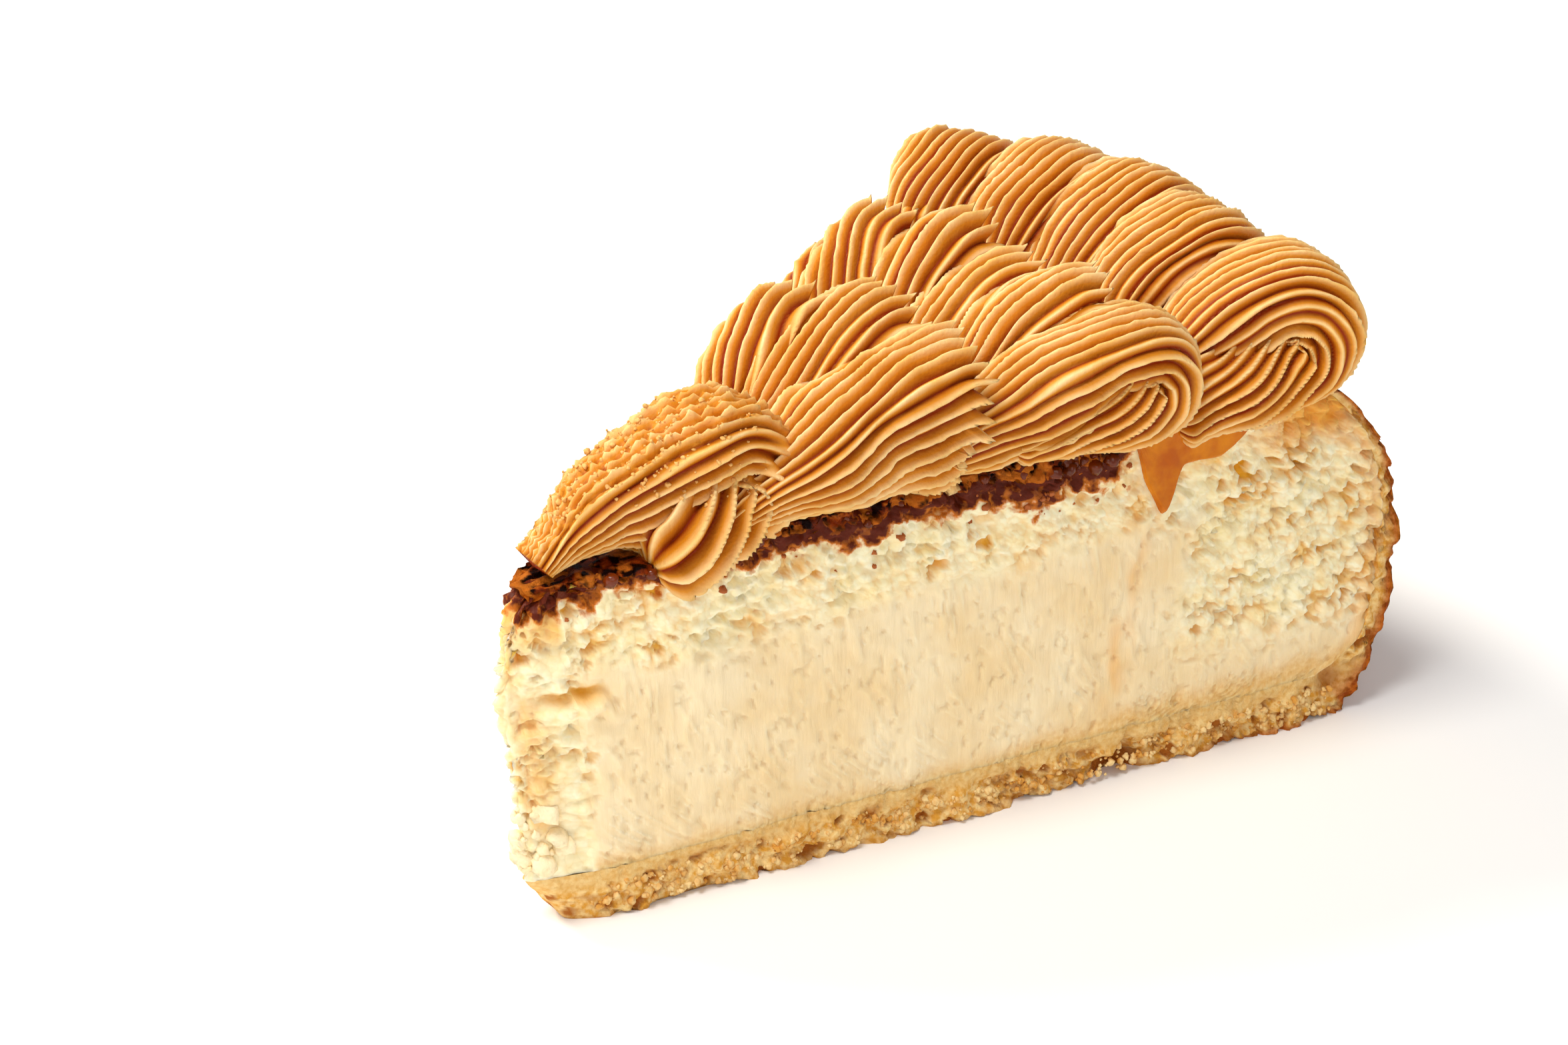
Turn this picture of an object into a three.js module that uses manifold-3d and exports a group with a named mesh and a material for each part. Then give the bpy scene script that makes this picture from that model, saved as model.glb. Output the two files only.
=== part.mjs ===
// Slice of baked cheesecake: an eleventh of a 24 cm cake, cut out to a blunt tip. A shortcrust base
// turns up at the rim into a thin wall and holds a baked cream-cheese filling. Caramel cream is
// piped on the baked top in three rows of ridged swags and one at the tip, each a strand that
// starts at a head towards the rim and is drawn out to a tail towards the tip.
// Millimetres, +Z up. +X runs from tip to rim and the smoother cut face looks along -Y.
import * as THREE from 'three';
import { mergeVertices } from 'three/addons/utils/BufferGeometryUtils.js';
import { ImprovedNoise } from 'three/addons/math/ImprovedNoise.js';
import Module from 'manifold-3d';

const wasm = await Module();
wasm.setup();

// The cake that the slice was cut from, measured from its centre
const CAKE_RADIUS = 120;
const SLICE_ANGLE = THREE.MathUtils.degToRad(32);
const TIP_HEIGHT = 42;
const RIM_HEIGHT = 46;
const BULGE_HEIGHT = 19;
const FOOT_INSET = 5.5;
const SHOULDER_INSET = 12;

// The blunt tip, cut back further at the foot than at the top, with a bulge in between
const TIP_RADIUS_FOOT = 12;
const TIP_RADIUS_TOP = 8.5;
const TIP_ROUNDING = 0.33;
const TIP_BULGE = 4.6;

// Distance from the cake's centre to the origin, under the middle of the base
const ORIGIN_RADIUS = 64;

// Shortcrust
const BASE_THICKNESS = 6.4;
const WALL_TOP_THICKNESS = 1.5;
const WALL_FOOT_THICKNESS = 3.2;
const FILLET = 5;
const WALL_HEIGHT = 44;

// Missing crumb at the foot of the front cut
const NOTCH_RADIUS = 82;
const NOTCH_WIDTH = 4;
const NOTCH_DEPTH = 3;

const GAP = 0.3;
const SLIVER = 0.03;

// Relief on the cut faces: how far it stands, and how long its waves are
const CRUST_RELIEF = 0.8;
const CRUST_WAVE = 4.2;
const CURD_RELIEF = 0.65;
const CURD_WAVE = 5.5;
const SMEAR_RELIEF = 0.2;
const CURD_DEPTH = 20;
const CURD_BORDER = 28;

// How finely the slice is divided along the radius, across and up
const ACROSS = 6;
const FILLING_RADIAL = 26;
const FILLING_UP = 9;
const BASE_RADIAL = 34;
const WALL_UP = 10;
const CRUST_LAYERS = 2;

// Piped cream: ridges round a strand, their depth, how square its upper and lower halves are (1 is
// an ellipse), how far an open head is torn into points and hollowed, and how much a folded strand
// narrows at its hidden end
const RIDGES = 12;
const RIDGE_DEPTH = 1.2;
const SQUARE_ABOVE = 0.72;
const SQUARE_BELOW = 0.9;
const POINT_LENGTH = 1.6;
const HOLLOW_DEPTH = 1.2;
const TAIL_SIZE = 0.5;
const END_TAPER = 0.5;
const HALF_THICKNESS = 4.1;
const BEND_CLEARANCE = 0.3;
const TAIL_LIFT = 1.6;
const BELLY = 0.34;

// A strand sags until it rests on the cake, and a folded one only up to this part of its climb
const SAG = 1.05;
const SAG_FADES = 0.5;

// One entry for each swag, from the first piped to the last, with the later ones lying on the
// earlier: radius of tail and head, their angles in degrees from the middle of the slice, height
// of the strand's middle at its crest over the baked top, half its width, and how far the head
// turns under itself in degrees, with the length that then runs back beneath it. A swag at the
// front also hangs over the cut, some are thicker or thinner, some start finer or flatter at the
// tail, and the one at the tip swells there.
const SWAGS = [
  {
    name: 'outer_1', tail: [84, 13.6], head: [108, 13.2], rise: 13.2, half: 7.2, turn: 180, back: 8,
    belly: 0.2, tailSize: 0.32,
  },
  { name: 'outer_2', tail: [84, 6.8], head: [110, 5.6], rise: 14.2, half: 7.2, turn: 180, back: 8 },
  { name: 'outer_3', tail: [84, 0.8], head: [111, -0.9], rise: 14.4, half: 7.2, turn: 180, back: 8 },
  { name: 'outer_4', tail: [84, -5.4], head: [108.4, -7.6], rise: 14.2, half: 7.2, turn: 180, back: 8 },
  {
    name: 'outer_5', tail: [84, -12], head: [111.2, -15.5], rise: 12.5, half: 7, turn: 180, back: 13,
    hang: 2.8, thick: 4.2,
  },
  {
    name: 'middle_1', tail: [67, 15.8], head: [84, 15.8], rise: 7.6, half: 4.2, turn: 30, thick: 3.4,
  },
  { name: 'middle_2', tail: [66, 11.8], head: [86, 11.6], rise: 12.4, half: 5.2, turn: 30 },
  { name: 'middle_3', tail: [66, 6.4], head: [88, 4.2], rise: 13, half: 5.2, turn: 30 },
  { name: 'middle_4', tail: [64, 0.6], head: [86, -3.4], rise: 11.2, half: 5.2, turn: 30 },
  { name: 'middle_5', tail: [62, -6], head: [88, -9.6], rise: 12.2, half: 5.8, turn: 30 },
  {
    name: 'middle_6', tail: [51, -14.4], head: [89, -15.6], rise: 11.6, half: 6.2, turn: 180,
    back: 15, hang: 1, thick: 3.3, tailSize: 0.4,
  },
  {
    name: 'inner_1', tail: [45, 12.4], head: [61, 13], rise: 5.4, half: 4, turn: 30, thick: 3,
  },
  { name: 'inner_2', tail: [40, 8.2], head: [62, 7.8], rise: 12.2, half: 5, turn: 30 },
  { name: 'inner_3', tail: [38, 1.2], head: [67, -1], rise: 12.8, half: 6.4, turn: 30 },
  {
    name: 'inner_4', tail: [30, -13.6], head: [67, -12.6], rise: 11.6, half: 6.8, turn: 24,
    tailSize: 0.36,
  },
  {
    name: 'tip', tail: [10.4, 0], head: [41, -7.6], rise: 11.4, half: 6.4, turn: 180, back: 9,
    hang: 2.2, belly: 0.5, thick: 3.7, tailSize: 0.42,
  },
];

const BODY_STATIONS = 5;
const MILLIMETRES_A_STATION = 6.4;

const noise = new ImprovedNoise();
const half = SLICE_ANGLE / 2;

function rimRadius(z) {
  if (z < BULGE_HEIGHT) return CAKE_RADIUS - FOOT_INSET * (1 - z / BULGE_HEIGHT) ** 2;
  return CAKE_RADIUS - SHOULDER_INSET * ((z - BULGE_HEIGHT) / (RIM_HEIGHT - BULGE_HEIGHT)) ** 3;
}

function wallThickness(z) {
  const up = Math.min(1, Math.max(0, (z - BASE_THICKNESS) / (WALL_HEIGHT - BASE_THICKNESS)));
  const straight = THREE.MathUtils.lerp(WALL_FOOT_THICKNESS, WALL_TOP_THICKNESS, up);
  return straight + FILLET * Math.max(0, 1 - (z - BASE_THICKNESS) / FILLET) ** 2;
}

function wallInside(z) {
  return rimRadius(z) - wallThickness(z);
}

function tipRadius(z, across) {
  const straight = THREE.MathUtils.lerp(TIP_RADIUS_FOOT, TIP_RADIUS_TOP, z / TIP_HEIGHT);
  const bulge = TIP_BULGE * (1 - Math.min(1, Math.abs((2 * z) / TIP_HEIGHT - 1)) ** 6);
  const corner = Math.abs(across) ** 3;
  return straight * (1 + TIP_ROUNDING * corner) - bulge * (1 - corner);
}

function topHeight(radius) {
  return THREE.MathUtils.lerp(TIP_HEIGHT, RIM_HEIGHT, radius / (CAKE_RADIUS - SHOULDER_INSET));
}

// A point of the cake from its radius, its place across the slice (-1 on the front cut, +1 on the
// back one) and its height, with the cut faces moved outwards by a given amount
function place(radius, across, z, outwards) {
  const angle = across * half;
  const turned = new THREE.Vector2(radius * Math.cos(angle), radius * Math.sin(angle));
  const side = Math.sign(across);
  turned.x -= outwards * Math.sin(half);
  turned.y += outwards * Math.cos(half) * side;
  return new THREE.Vector3(turned.x, turned.y, z);
}

function isCut(across) {
  return Math.abs(across) > 0.999;
}

// Crumbly pastry: rough on the cuts, with one crumb missing from the foot of the front
function crustRelief(radius, across, z) {
  if (!isCut(across)) return 0;
  const rough = CRUST_RELIEF * noise.noise(radius / CRUST_WAVE, z / CRUST_WAVE, 7 * across);
  const nearNotch = Math.exp(-(((radius - NOTCH_RADIUS) / NOTCH_WIDTH) ** 2));
  const missing = across < 0 && z < BASE_THICKNESS / 2 ? NOTCH_DEPTH * nearNotch : 0;
  return rough - missing;
}

// Filling: smeared smooth by the knife low down, curdy near the top and near the rim
function fillingRelief(radius, across, z) {
  if (!isCut(across)) return 0;
  const nearTop = THREE.MathUtils.smoothstep(z, topHeight(radius) - CURD_DEPTH, topHeight(radius));
  const nearRim = THREE.MathUtils.smoothstep(radius, CAKE_RADIUS - CURD_BORDER, CAKE_RADIUS);
  const strength = THREE.MathUtils.lerp(SMEAR_RELIEF, CURD_RELIEF, Math.max(nearTop, nearRim));
  return strength * noise.noise(radius / CURD_WAVE, z / CURD_WAVE, 3 + 5 * across);
}

// Moves each vertex of a unit box by a rule given its place along, across and up, from 0 to 1
function shapedBox(segments, rule) {
  const geometry = new THREE.BoxGeometry(1, 1, 1, ...segments);
  const position = geometry.attributes.position;
  const corner = new THREE.Vector3(0.5, 0.5, 0.5);
  const vertex = new THREE.Vector3();
  for (let i = 0; i < position.count; i++) {
    vertex.fromBufferAttribute(position, i).add(corner);
    const moved = rule(vertex.x, vertex.y, vertex.z);
    position.setXYZ(i, moved.x, moved.y, moved.z);
  }
  return geometry;
}

function fillingGeometry(grow) {
  return shapedBox([FILLING_RADIAL, ACROSS, FILLING_UP], (along, over, up) => {
    const across = 2 * over - 1;
    const shoulder = CAKE_RADIUS - SHOULDER_INSET;
    const top = topHeight(THREE.MathUtils.lerp(TIP_RADIUS_TOP, shoulder, along));
    const z = THREE.MathUtils.lerp(BASE_THICKNESS + GAP - grow, top + grow, up);
    const inner = tipRadius(z, across) - grow;
    const outer = wallInside(Math.max(z, BASE_THICKNESS)) - GAP + 2 * grow;
    const radius = THREE.MathUtils.lerp(inner, outer, along);
    return place(radius, across, z, fillingRelief(radius, across, z) + grow);
  });
}

// The crust's section runs along the base and then up the wall. Its outer line is the underside
// and the outside of the wall, its inner line what the filling lies against.
function crustSection(along, across) {
  const baseShare = BASE_RADIAL / (BASE_RADIAL + WALL_UP);
  if (along <= baseShare + 1e-6) {
    const run = along / baseShare;
    return {
      outer: [THREE.MathUtils.lerp(tipRadius(0, across), rimRadius(0), run), 0],
      inner: [
        THREE.MathUtils.lerp(tipRadius(BASE_THICKNESS, across), wallInside(BASE_THICKNESS), run),
        BASE_THICKNESS,
      ],
    };
  }
  const climb = (along - baseShare) / (1 - baseShare);
  const outerZ = WALL_HEIGHT * climb;
  const innerZ = THREE.MathUtils.lerp(BASE_THICKNESS, WALL_HEIGHT, climb);
  return { outer: [rimRadius(outerZ), outerZ], inner: [wallInside(innerZ), innerZ] };
}

function crustGeometry() {
  return shapedBox([BASE_RADIAL + WALL_UP, ACROSS, CRUST_LAYERS], (along, over, up) => {
    const across = 2 * over - 1;
    const { outer, inner } = crustSection(along, across);
    const radius = THREE.MathUtils.lerp(outer[0], inner[0], up);
    const z = THREE.MathUtils.lerp(outer[1], inner[1], up);
    return place(radius, across, z, crustRelief(radius, across, z));
  });
}

// Middle line of a swag, in the upright plane of its stroke: up from the tail, over the crest,
// round the bend and back beneath, where it may hang down in front of that plane
function swagPath(swag) {
  const { tail, head, rise, turn, back = 0, hang = 0, belly = BELLY, thick = HALF_THICKNESS } = swag;
  const bend = thick + BEND_CLEARANCE;
  const [start, end] = [tail, head].map(([radius, degrees]) => {
    const angle = THREE.MathUtils.degToRad(degrees);
    return new THREE.Vector2(radius * Math.cos(angle), radius * Math.sin(angle));
  });
  const stroke = end.clone().sub(start);
  const length = stroke.length() - bend - thick;
  stroke.normalize();
  const side = new THREE.Vector3(stroke.y, -stroke.x, 0);
  const ground = topHeight((tail[0] + head[0]) / 2);
  const at = (run, z, aside = 0) => new THREE.Vector3(start.x, start.y, ground)
    .add(new THREE.Vector3(stroke.x * run, stroke.y * run, z))
    .addScaledVector(side, aside);
  const points = [
    at(0, TAIL_LIFT),
    at(0.3 * length, belly * rise + TAIL_LIFT),
    at(0.66 * length, 0.84 * rise + 0.1 * (belly - BELLY) * rise),
    at(length, rise),
  ];
  const steps = Math.ceil(turn / 45);
  for (let step = 1; step <= steps; step++) {
    const turned = THREE.MathUtils.degToRad((turn * step) / steps);
    const down = bend * (1 - Math.cos(turned));
    const share = (0.3 * step) / steps;
    points.push(at(length + bend * Math.sin(turned), rise - down - share * hang, share * hang));
  }
  if (back > 0) {
    const under = rise - 2 * bend;
    points.push(at(length - back / 2, under - 0.3 - 0.75 * hang, 0.75 * hang));
    points.push(at(length - back, under - 1.2 - hang, hang));
  }
  const curve = new THREE.CatmullRomCurve3(points);
  const crest = 1 - (THREE.MathUtils.degToRad(turn) * bend + back) / curve.getLength();
  return { curve, side, crest };
}

// Points evenly spaced round a squarish oval with a deeper lower half, and the way out at each
function squarishOval(halfWidth, above, below, count) {
  const steps = 120;
  const outline = new THREE.CurvePath();
  const corner = (step) => {
    const angle = (step / steps) * 2 * Math.PI;
    const x = Math.cos(angle);
    const y = Math.sin(angle);
    const square = y > 0 ? SQUARE_ABOVE : SQUARE_BELOW;
    const reach = y > 0 ? above : below;
    return new THREE.Vector2(
      Math.sign(x) * halfWidth * Math.abs(x) ** square,
      Math.sign(y) * reach * Math.abs(y) ** square,
    );
  };
  for (let step = 0; step < steps; step++) {
    outline.add(new THREE.LineCurve(corner(step), corner(step + 1)));
  }
  const even = Array.from({ length: count }, (_, k) => outline.getPoint(k / count));
  return even.map((point, k) => {
    const tangent = even[(k + 1) % count].clone().sub(even[(k + count - 1) % count]);
    return { point, out: new THREE.Vector2(tangent.y, -tangent.x).normalize() };
  });
}

// A ridged strand along the path: thin at the tail, full at the crest, torn into points round a
// hollow at the head, or closed round when the head runs back beneath
function swagGeometry(swag, grow) {
  const { curve, side, crest } = swagPath(swag);
  const { thick = HALF_THICKNESS, tailSize = TAIL_SIZE } = swag;
  const ground = topHeight((swag.tail[0] + swag.head[0]) / 2);
  const stations = BODY_STATIONS + Math.round(curve.getLength() / MILLIMETRES_A_STATION);
  const rings = Array.from({ length: stations + 1 }, (_, station) => {
    const run = Math.max(0, Math.min(1, (station - 1) / (stations - 2)));
    const middle = curve.getPointAt(run);
    const ahead = curve.getTangentAt(run);
    const over = new THREE.Vector3().crossVectors(side, ahead);
    const swell = THREE.MathUtils.lerp(tailSize, 1, THREE.MathUtils.smoothstep(run, 0, 0.5));
    const taper = swag.back ? 1 - END_TAPER * THREE.MathUtils.smoothstep(run, 0.76, 1) : 1;
    const size = swell * taper;
    const climb = THREE.MathUtils.smoothstep(run, SAG_FADES * crest, crest);
    const resting = swag.back ? 1 - climb : 1;
    const sag = resting * SAG * Math.max(0, middle.z - ground - thick * size);
    const section = squarishOval(swag.half * size, thick * size, thick * size + sag, 2 * RIDGES);
    return { middle, ahead, over, size, section };
  });
  const geometry = new THREE.SphereGeometry(1, 2 * RIDGES, stations);
  const { position, uv } = geometry.attributes;
  for (let i = 0; i < position.count; i++) {
    const station = Math.round((1 - uv.getY(i)) * stations);
    const corner = (Math.round(uv.getX(i) * 2 * RIDGES) + 2 * RIDGES) % (2 * RIDGES);
    const isRidge = corner % 2 === 0;
    const isPole = station === 0 || station === stations;
    const { middle, ahead, over, size, section } = rings[station];
    const { point, out } = section[corner];
    const relief = (isRidge ? 0.25 : -0.75) * RIDGE_DEPTH * size + grow;
    const wide = isPole ? 0 : point.x + relief * out.x;
    const high = isPole ? 0 : point.y + relief * out.y;
    let forward = 0;
    if (station === stations - 1) forward = (isRidge && !swag.back ? POINT_LENGTH : 0) + grow;
    if (station === 0) forward = -1 - grow;
    if (station === stations) forward = (swag.back ? 1 : -HOLLOW_DEPTH) + 2 * grow;
    const spot = middle.clone().addScaledVector(side, wide).addScaledVector(over, high);
    spot.addScaledVector(ahead, forward);
    position.setXYZ(i, spot.x, spot.y, spot.z);
  }
  return geometry;
}

// Geometry to solid and back
function solidOf(geometry) {
  geometry.deleteAttribute('normal');
  geometry.deleteAttribute('uv');
  const merged = mergeVertices(geometry, 1e-4);
  return new wasm.Manifold(new wasm.Mesh({
    numProp: 3,
    vertProperties: Float32Array.from(merged.attributes.position.array),
    triVerts: Uint32Array.from(merged.index.array),
  }));
}

function geometryOf(solid) {
  const mesh = solid.getMesh();
  const geometry = new THREE.BufferGeometry();
  geometry.setAttribute('position', new THREE.BufferAttribute(mesh.vertProperties, 3));
  geometry.setIndex(new THREE.BufferAttribute(mesh.triVerts, 1));
  return geometry;
}

// The largest body of a solid, without the scraps and slivers that a cut leaves
function largest(solid) {
  const bodies = solid.simplify(SLIVER).decompose();
  return bodies.reduce((best, body) => (body.volume() > best.volume() ? body : best));
}

function material(color, roughness) {
  return new THREE.MeshStandardMaterial({ color, roughness, metalness: 0 });
}

const slice = new THREE.Group();
slice.position.x = -ORIGIN_RADIUS;

function addPiece(name, solid, finish) {
  const mesh = new THREE.Mesh(geometryOf(solid), finish);
  mesh.name = name;
  slice.add(mesh);
}

const crust = solidOf(crustGeometry());
const filling = solidOf(fillingGeometry(0));
addPiece('crust', crust, material('#d7a35c', 0.9));
addPiece('filling', filling, material('#f0dcae', 0.6));

// Each swag loses what lies in the cake and in the swags piped after it
const cream = material('#dfa35c', 0.45);
const cake = solidOf(fillingGeometry(GAP));
const covers = SWAGS.map((swag) => solidOf(swagGeometry(swag, GAP)));
SWAGS.forEach((swag, index) => {
  let body = solidOf(swagGeometry(swag, 0)).subtract(cake);
  covers.slice(index + 1).forEach((cover) => {
    body = body.subtract(cover);
  });
  addPiece(`cream_${swag.name}`, largest(body), cream);
});

export default slice;
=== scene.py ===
# %% [markdown]
# # A slice of baked cheesecake
# One slice of a tall cheesecake: a shortcrust base that turns up at the rim, a curdy baked filling,
# a top that the oven has caramelised, and caramel cream piped over it in ridged swags. The packed
# solids give every size and place. This lesson dresses them: each piece is made again with a finer
# mesh that follows the same measurements, and gets the finish of the real food.

# %% Open the frame
import math
import random

import bmesh
import bpy
from mathutils import Matrix, Vector, noise


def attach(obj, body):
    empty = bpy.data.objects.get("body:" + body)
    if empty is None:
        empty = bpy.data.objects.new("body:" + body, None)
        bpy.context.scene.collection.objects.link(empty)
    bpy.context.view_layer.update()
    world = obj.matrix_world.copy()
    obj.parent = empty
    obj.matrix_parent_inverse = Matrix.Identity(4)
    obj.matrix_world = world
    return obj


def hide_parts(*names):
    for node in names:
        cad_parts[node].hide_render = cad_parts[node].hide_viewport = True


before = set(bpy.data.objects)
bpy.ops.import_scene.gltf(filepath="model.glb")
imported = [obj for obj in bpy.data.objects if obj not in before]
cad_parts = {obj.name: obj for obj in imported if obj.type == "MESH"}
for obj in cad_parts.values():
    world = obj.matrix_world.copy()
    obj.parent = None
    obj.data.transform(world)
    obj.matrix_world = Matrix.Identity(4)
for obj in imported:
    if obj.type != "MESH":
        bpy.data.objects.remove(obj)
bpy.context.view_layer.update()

# %% [markdown]
# ## Camera first
# The photograph looks down at the front cut from the left of the tip. A camera is easiest to set
# as an orbit: a target, two angles, a roll and a distance. With a long lens the slice hardly
# tapers, as in a product photograph.


# %% Camera
def orbit(target, azimuth, elevation, roll, distance):
    a, e, r = map(math.radians, (azimuth, elevation, roll))
    back = Vector((math.sin(a) * math.cos(e), -math.cos(a) * math.cos(e), math.sin(e)))
    right = Vector((0, 0, 1)).cross(back).normalized()
    up = back.cross(right)
    turned_right = right * math.cos(r) + up * math.sin(r)
    turned_up = up * math.cos(r) - right * math.sin(r)
    axes = Matrix((turned_right, turned_up, back)).transposed().to_4x4()
    return Matrix.Translation(target + back * distance) @ axes


camera = bpy.data.objects.new("camera", bpy.data.cameras.new("camera"))
camera.data.lens = 85
camera.data.sensor_width = 36
camera.data.clip_start = 0.01
camera.matrix_world = orbit(Vector((-0.008864, 0.00967, 0.03)), -42.73, 27.23, -0.34, 0.4307)
bpy.context.scene.collection.objects.link(camera)
bpy.context.scene.camera = camera
print("camera at", [round(v, 3) for v in camera.matrix_world.translation])

# %% [markdown]
# ## Measurements
# The slice is an eleventh of a cake, so the natural coordinates are the cake's own: a radius, a
# place across the slice from -1 on the front cut to +1 on the back one, and a height, all in
# millimetres. Every piece is worked out there and moved to the frame, in metres, at the end.

# %% Sizes of the cake
CAKE_RADIUS = 120
HALF_ANGLE = math.radians(16)
ORIGIN_RADIUS = 64
TIP_HEIGHT, RIM_HEIGHT = 42, 46
BULGE_HEIGHT, FOOT_INSET, SHOULDER_INSET = 19, 5.5, 12
TIP_RADIUS_FOOT, TIP_RADIUS_TOP, TIP_ROUNDING, TIP_BULGE = 12, 8.5, 0.33, 4.6
BASE_THICKNESS, WALL_FOOT_THICKNESS, WALL_TOP_THICKNESS = 6.4, 3.2, 1.5
FILLET, WALL_HEIGHT = 5, 44
SHOULDER = CAKE_RADIUS - SHOULDER_INSET


def mix(a, b, share):
    return a + (b - a) * share


def smooth(value, low, high):
    share = min(1, max(0, (value - low) / (high - low)))
    return share * share * (3 - 2 * share)


def hill(value, centre, width):
    return math.exp(-(((value - centre) / width) ** 2))


def wave(x, y, z, size, seed=0.0):
    return noise.noise(Vector((x / size + seed, y / size - 1.7 * seed, z / size + 2.3 * seed)))


def rim_radius(z):
    if z < BULGE_HEIGHT:
        return CAKE_RADIUS - FOOT_INSET * (1 - z / BULGE_HEIGHT) ** 2
    return CAKE_RADIUS - SHOULDER_INSET * ((z - BULGE_HEIGHT) / (RIM_HEIGHT - BULGE_HEIGHT)) ** 3


def wall_inside(z):
    up = min(1, max(0, (z - BASE_THICKNESS) / (WALL_HEIGHT - BASE_THICKNESS)))
    fillet = FILLET * max(0, 1 - (z - BASE_THICKNESS) / FILLET) ** 2
    return rim_radius(z) - mix(WALL_FOOT_THICKNESS, WALL_TOP_THICKNESS, up) - fillet


def tip_radius(z, across):
    radius = mix(TIP_RADIUS_FOOT, TIP_RADIUS_TOP, z / TIP_HEIGHT)
    bulge = TIP_BULGE * (1 - min(1, abs(2 * z / TIP_HEIGHT - 1)) ** 6)
    corner = abs(across) ** 3
    return radius * (1 + TIP_ROUNDING * corner) - bulge * (1 - corner)


def top_height(radius):
    return mix(TIP_HEIGHT, RIM_HEIGHT, radius / SHOULDER)


def place(radius, across, z, outwards=0.0):
    angle = across * HALF_ANGLE
    x = radius * math.cos(angle) - outwards * math.sin(HALF_ANGLE)
    y = radius * math.sin(angle) + outwards * math.cos(HALF_ANGLE) * math.copysign(1, across)
    return Vector((x, y, z))


def to_frame(point):
    return Vector((point.x - ORIGIN_RADIUS, point.y, point.z)) * 0.001


print("top at the tip", TIP_HEIGHT, "mm, at the rim", RIM_HEIGHT, "mm")

# %% [markdown]
# ## Materials: one helper and the colours
# A material is a small graph of nodes. One function adds a node, sets its properties (lower-case
# names) and sockets (capitalised names or numbers), and links what feeds it. Colours are written
# as the sRGB values that a colour picker shows and turned to linear light for the shader.


# %% Node helper and colours
def linear(hex_colour):
    channels = [int(hex_colour[i : i + 2], 16) / 255 for i in (1, 3, 5)]
    return [c / 12.92 if c <= 0.04045 else ((c + 0.055) / 1.055) ** 2.4 for c in channels] + [1]


def add_node(material, kind, **settings):
    node = material.node_tree.nodes.new("ShaderNode" + kind)
    sockets = settings.pop("sockets", {})
    for name, value in settings.items():
        setattr(node, name, value)
    for socket, value in sockets.items():
        if isinstance(value, bpy.types.NodeSocket):
            material.node_tree.links.new(value, node.inputs[socket])
        else:
            node.inputs[socket].default_value = value
    return node


def new_material(name):
    material = bpy.data.materials.new(name)
    material.use_nodes = True
    material.node_tree.nodes.clear()
    return material


def blend_colours(material, share, first, second):
    first = linear(first) if isinstance(first, str) else first
    second = linear(second) if isinstance(second, str) else second
    node = add_node(material, "Mix", data_type="RGBA", sockets={0: share, 6: first, 7: second})
    return node.outputs[2]


def finish_surface(material, colour, roughness, bump, settings):
    sockets = {"Base Color": colour, "Roughness": roughness, "Normal": bump, **settings}
    shader = add_node(material, "BsdfPrincipled", sockets=sockets)
    add_node(material, "OutputMaterial", sockets={"Surface": shader.outputs[0]})


def grain(material, size_mm, detail=4.0, stretch=(1, 1, 1)):
    position = add_node(material, "TexCoord").outputs["Object"]
    scaled = add_node(material, "Mapping", sockets={"Vector": position, "Scale": stretch})
    return add_node(
        material,
        "TexNoise",
        sockets={"Vector": scaled.outputs[0], "Scale": 1000 / size_mm, "Detail": detail},
    ).outputs[0]


def attribute(material, name):
    return add_node(material, "Attribute", attribute_name=name).outputs["Fac"]


def remap(material, value, low, high, to_low=0.0, to_high=1.0):
    sockets = {0: value, 1: low, 2: high, 3: to_low, 4: to_high}
    return add_node(material, "MapRange", sockets=sockets).outputs[0]


def maths(material, operation, first, second):
    return add_node(
        material, "Math", operation=operation, use_clamp=True, sockets={0: first, 1: second}
    ).outputs[0]


def bump(material, height, depth_mm, strength=1.0):
    sockets = {"Height": height, "Distance": depth_mm / 1000, "Strength": strength}
    return add_node(material, "Bump", sockets=sockets).outputs[0]


print("helpers ready")

# %% [markdown]
# ## Caramel cream
# The icing is whipped butter or cream cheese with caramel: opaque, fatty, with a soft satin gloss
# and light that travels a millimetre or two into it. Its colour holds painted light: the valleys
# between the ridges are painted darker and redder as shade, and the crests paler as a highlight.

# %% Caramel cream finish
cream = new_material("whipped_caramel_cream")
crest = attribute(cream, "crest")
mottle = remap(cream, grain(cream, 5.0), 0.35, 0.65)
flank_colour = blend_colours(cream, mottle, "#cd7e16", "#da902a")
# Painted highlight on the crests and painted shade in the valleys, placed by the crest attribute.
crest_highlight_colour = blend_colours(cream, mottle, "#f5c676", "#fbdaa0")
valley_shade_colour = blend_colours(cream, remap(cream, crest, 0.02, 0.5), "#8c2400", flank_colour)
finish_surface(
    cream,
    blend_colours(cream, remap(cream, crest, 0.52, 1.0), valley_shade_colour, crest_highlight_colour),
    0.46,
    bump(cream, grain(cream, 0.5), 0.22, 0.6),
    {
        "Subsurface Weight": 0.12,
        "Subsurface Radius": (1.0, 0.6, 0.3),
        "Subsurface Scale": 0.0012,
        "Specular IOR Level": 0.14,
    },
)
print(cream.name)

# %% [markdown]
# ## The path of a swag
# A swag is a strand from a star nozzle. It starts at a head towards the rim and is drawn out to a
# tail towards the tip. The rim's swags are folded: the strand turns right round at the head and
# runs back beneath itself. Its middle line is a smooth curve through a few points, the same that
# the solids were made from, so that the fine mesh lies where they are.

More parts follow.
